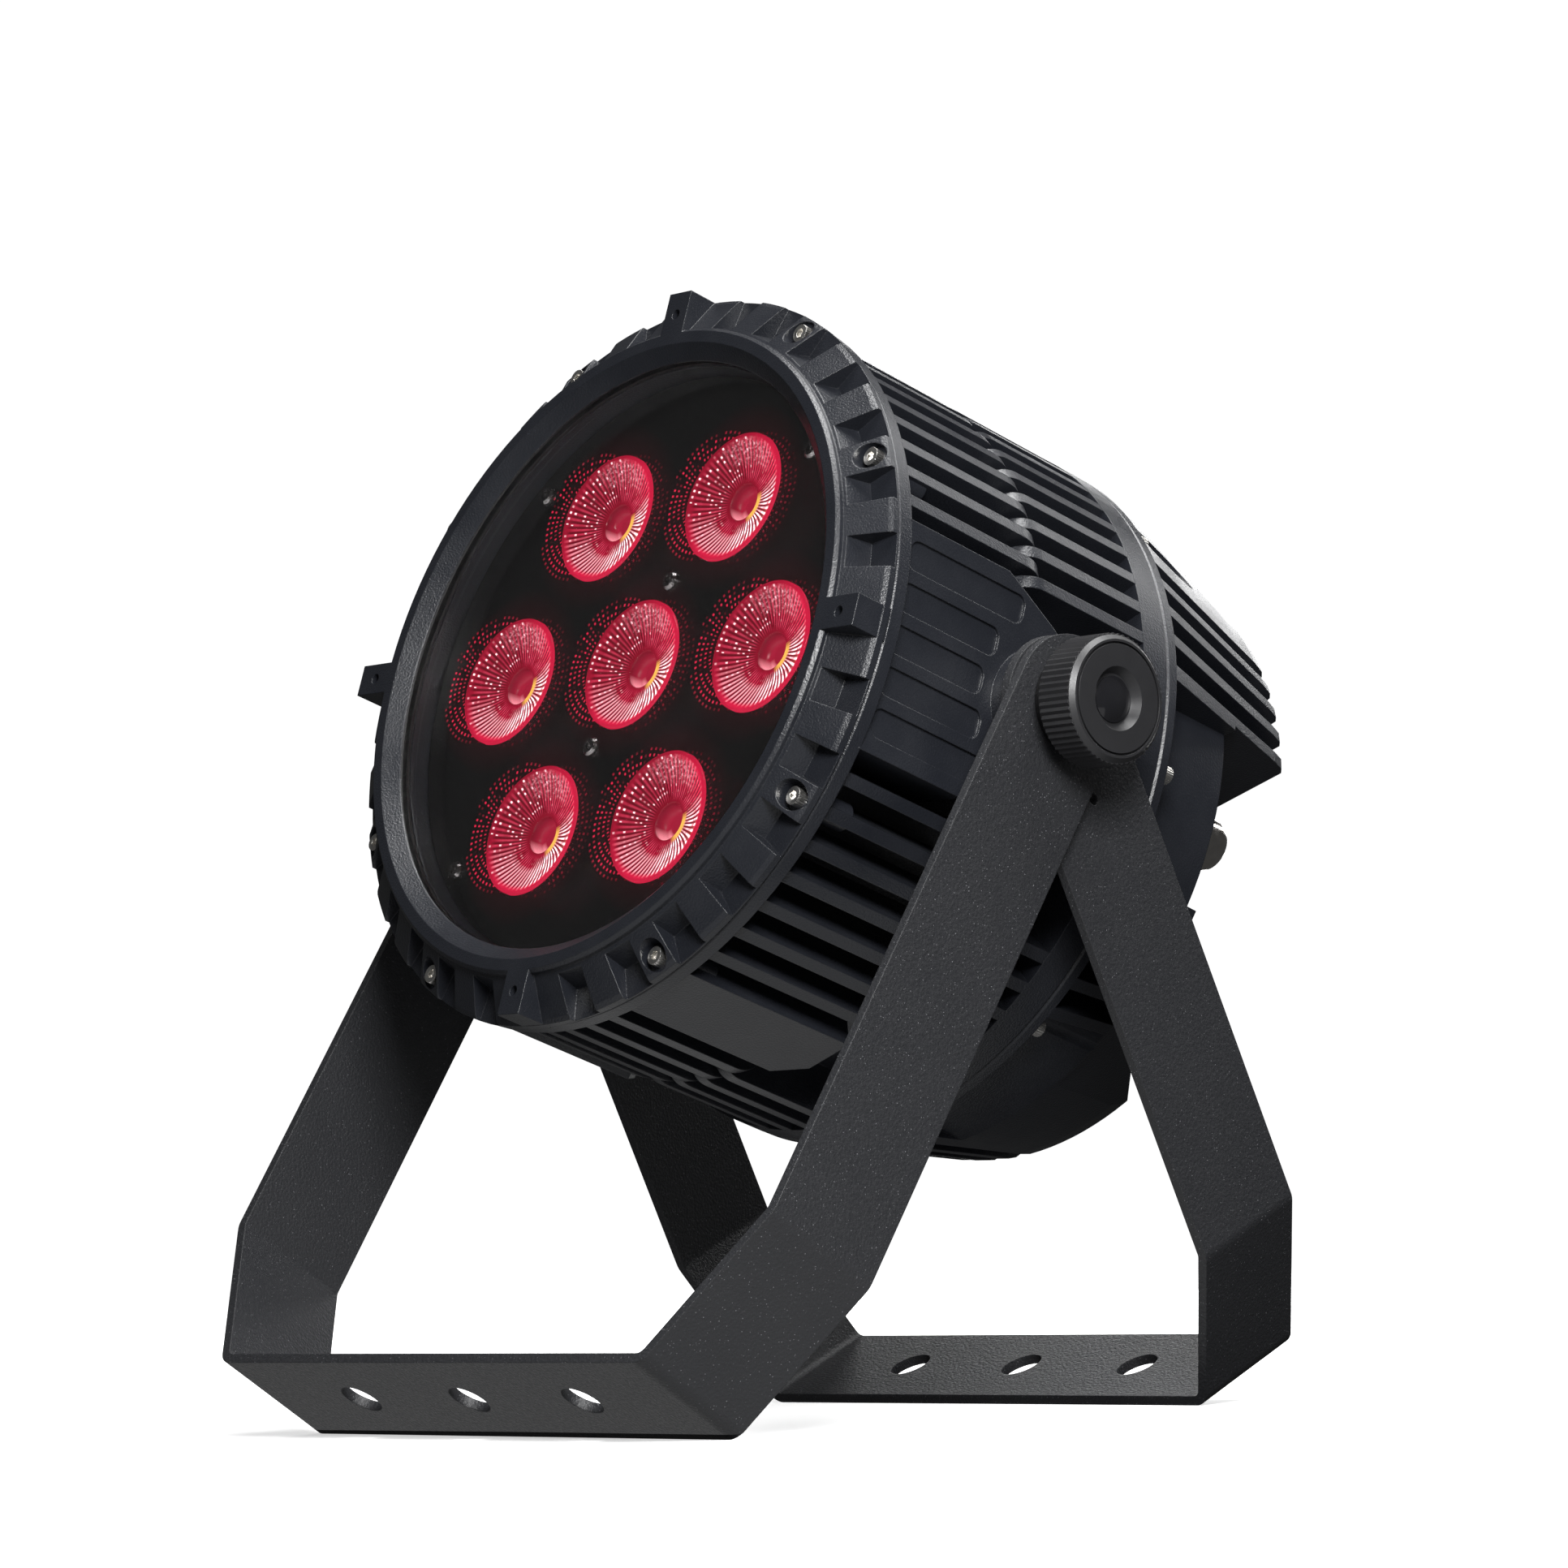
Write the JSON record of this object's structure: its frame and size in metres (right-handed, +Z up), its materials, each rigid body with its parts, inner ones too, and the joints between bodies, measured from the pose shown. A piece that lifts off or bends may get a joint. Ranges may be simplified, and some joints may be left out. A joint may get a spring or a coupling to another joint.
{
  "type": "par can light",
  "caption": "Stage par light: finned round head behind clear glass, tilting between two hinged U brackets clamped by side knobs, so it hangs or stands on the floor.",
  "frame": {"origin": "centre of the bounding box, at the floor", "axes": "+Z up; the lamp shines towards -Y and 19 degrees upwards; +X is the tilt axis"},
  "size_m": [0.281, 0.2836, 0.3311],
  "materials": {
    "head_paint": "powder coated, semi matt blue-black",
    "bracket_paint": "fine textured powder coat, black",
    "knob_plastic": "moulded, satin black",
    "knob_cap_gloss": "glossy black",
    "stainless": "bright stainless",
    "black_steel": "black oxide",
    "brass_insert": "machined",
    "nylon": "black nylon",
    "nickel": "nickel plated",
    "rubber": "matt silicone",
    "clear_glass": "clear toughened",
    "mask_black": "satin black",
    "lens_clear": "clear moulded acrylic, lit red",
    "lens_holder": "black",
    "board_white": "white solder mask",
    "led_red": "lit emitter",
    "window_dark": "smoked acrylic",
    "display_part": "display glass and frame",
    "menu_buttons": "moulded",
    "board_green": "green solder mask",
    "capacitor_black": "sleeved can",
    "ferrite": "ferrite and tape",
    "switch_black": "moulded"
  },
  "bodies": {
    "front_stand": {"front_bracket": "bracket_paint", "spacer_washers": "black_steel"},
    "rear_stand": {"rear_bracket": "bracket_paint"},
    "head": {"bezel_screws": "stainless", "breather_valve": "nickel", "button_switches": "switch_black", "control_board": "board_green", "control_screws": "stainless", "display_module": "display_part", "display_window": "window_dark", "driver_board": "board_green", "driver_capacitors": "capacitor_black", "driver_screws": "stainless", "driver_standoffs": "stainless", "driver_transformer": "ferrite", "friction_washers": "nylon", "front_bezel": "head_paint", "front_glass": "clear_glass", "gland_bodies": "nickel", "gland_nuts": "nickel", "gland_seals": "rubber", "glass_gasket": "rubber", "led_board": "board_white", "led_board_screws": "stainless", "led_emitters": "led_red", "lens_holders": "lens_holder", "lens_mask": "mask_black", "main_housing": "head_paint", "mask_screws": "stainless", "mask_standoffs": "stainless", "pivot_inserts": "brass_insert", "pivot_studs": "stainless", "rear_cover": "head_paint", "rear_cover_screws": "stainless", "rear_gasket": "rubber", "safety_eye": "black_steel", "safety_eye_screws": "stainless", "tir_lenses": "lens_clear"},
    "right_clamp": {"right_pressure_washer": "black_steel"},
    "right_knob_body": {"right_knob": "knob_plastic", "right_knob_nut": "stainless", "right_knob_cap": "knob_cap_gloss"},
    "left_clamp": {"left_pressure_washer": "black_steel"},
    "left_knob_body": {"left_knob": "knob_plastic", "left_knob_nut": "stainless", "left_knob_cap": "knob_cap_gloss"},
    "button_1": {"menu_button_1": "menu_buttons"},
    "button_2": {"menu_button_2": "menu_buttons"},
    "button_3": {"menu_button_3": "menu_buttons"},
    "button_4": {"menu_button_4": "menu_buttons"}
  },
  "joints": [
    {"name": "rear_bracket_fold", "type": "hinge", "parent": "front_stand", "child": "rear_stand", "pos_m": [0, 0.00173, 0.2], "axis": [1, 0, 0], "range_deg": [-58, 60]},
    {"name": "head_tilt", "type": "hinge", "parent": "front_stand", "child": "head", "pos_m": [0, 0.00173, 0.2], "axis": [1, 0, 0], "range_deg": [-70.8, 109.2]},
    {"name": "right_clamp_slide", "type": "slide", "parent": "head", "child": "right_clamp", "axis": [1, 0, 0], "range_m": [0, 0.0025]},
    {"name": "right_knob_turn", "type": "hinge", "parent": "right_clamp", "child": "right_knob_body", "pos_m": [0, 0.00173, 0.2], "axis": [1, 0, 0], "range_deg": [0, 720]},
    {"name": "left_clamp_slide", "type": "slide", "parent": "head", "child": "left_clamp", "axis": [-1, 0, 0], "range_m": [0, 0.0025]},
    {"name": "left_knob_turn", "type": "hinge", "parent": "left_clamp", "child": "left_knob_body", "pos_m": [0, 0.00173, 0.2], "axis": [-1, 0, 0], "range_deg": [0, 720]},
    {"name": "menu_button_1_press", "type": "slide", "parent": "head", "child": "button_1", "axis": [0, -0.9444, 0.3289], "range_m": [0, 0.0008], "stiffness_N_per_m": 300, "springref_m": -0.0003},
    {"name": "menu_button_2_press", "type": "slide", "parent": "head", "child": "button_2", "axis": [0, -0.9444, 0.3289], "range_m": [0, 0.0008], "stiffness_N_per_m": 300, "springref_m": -0.0003},
    {"name": "menu_button_3_press", "type": "slide", "parent": "head", "child": "button_3", "axis": [0, -0.9444, 0.3289], "range_m": [0, 0.0008], "stiffness_N_per_m": 300, "springref_m": -0.0003},
    {"name": "menu_button_4_press", "type": "slide", "parent": "head", "child": "button_4", "axis": [0, -0.9444, 0.3289], "range_m": [0, 0.0008], "stiffness_N_per_m": 300, "springref_m": -0.0003}
  ],
  "couplings": [
    {"joint": "right_clamp_slide", "follows": "right_knob_turn", "m_per_rad": 0.00019894},
    {"joint": "left_clamp_slide", "follows": "left_knob_turn", "m_per_rad": 0.00019894}
  ]
}
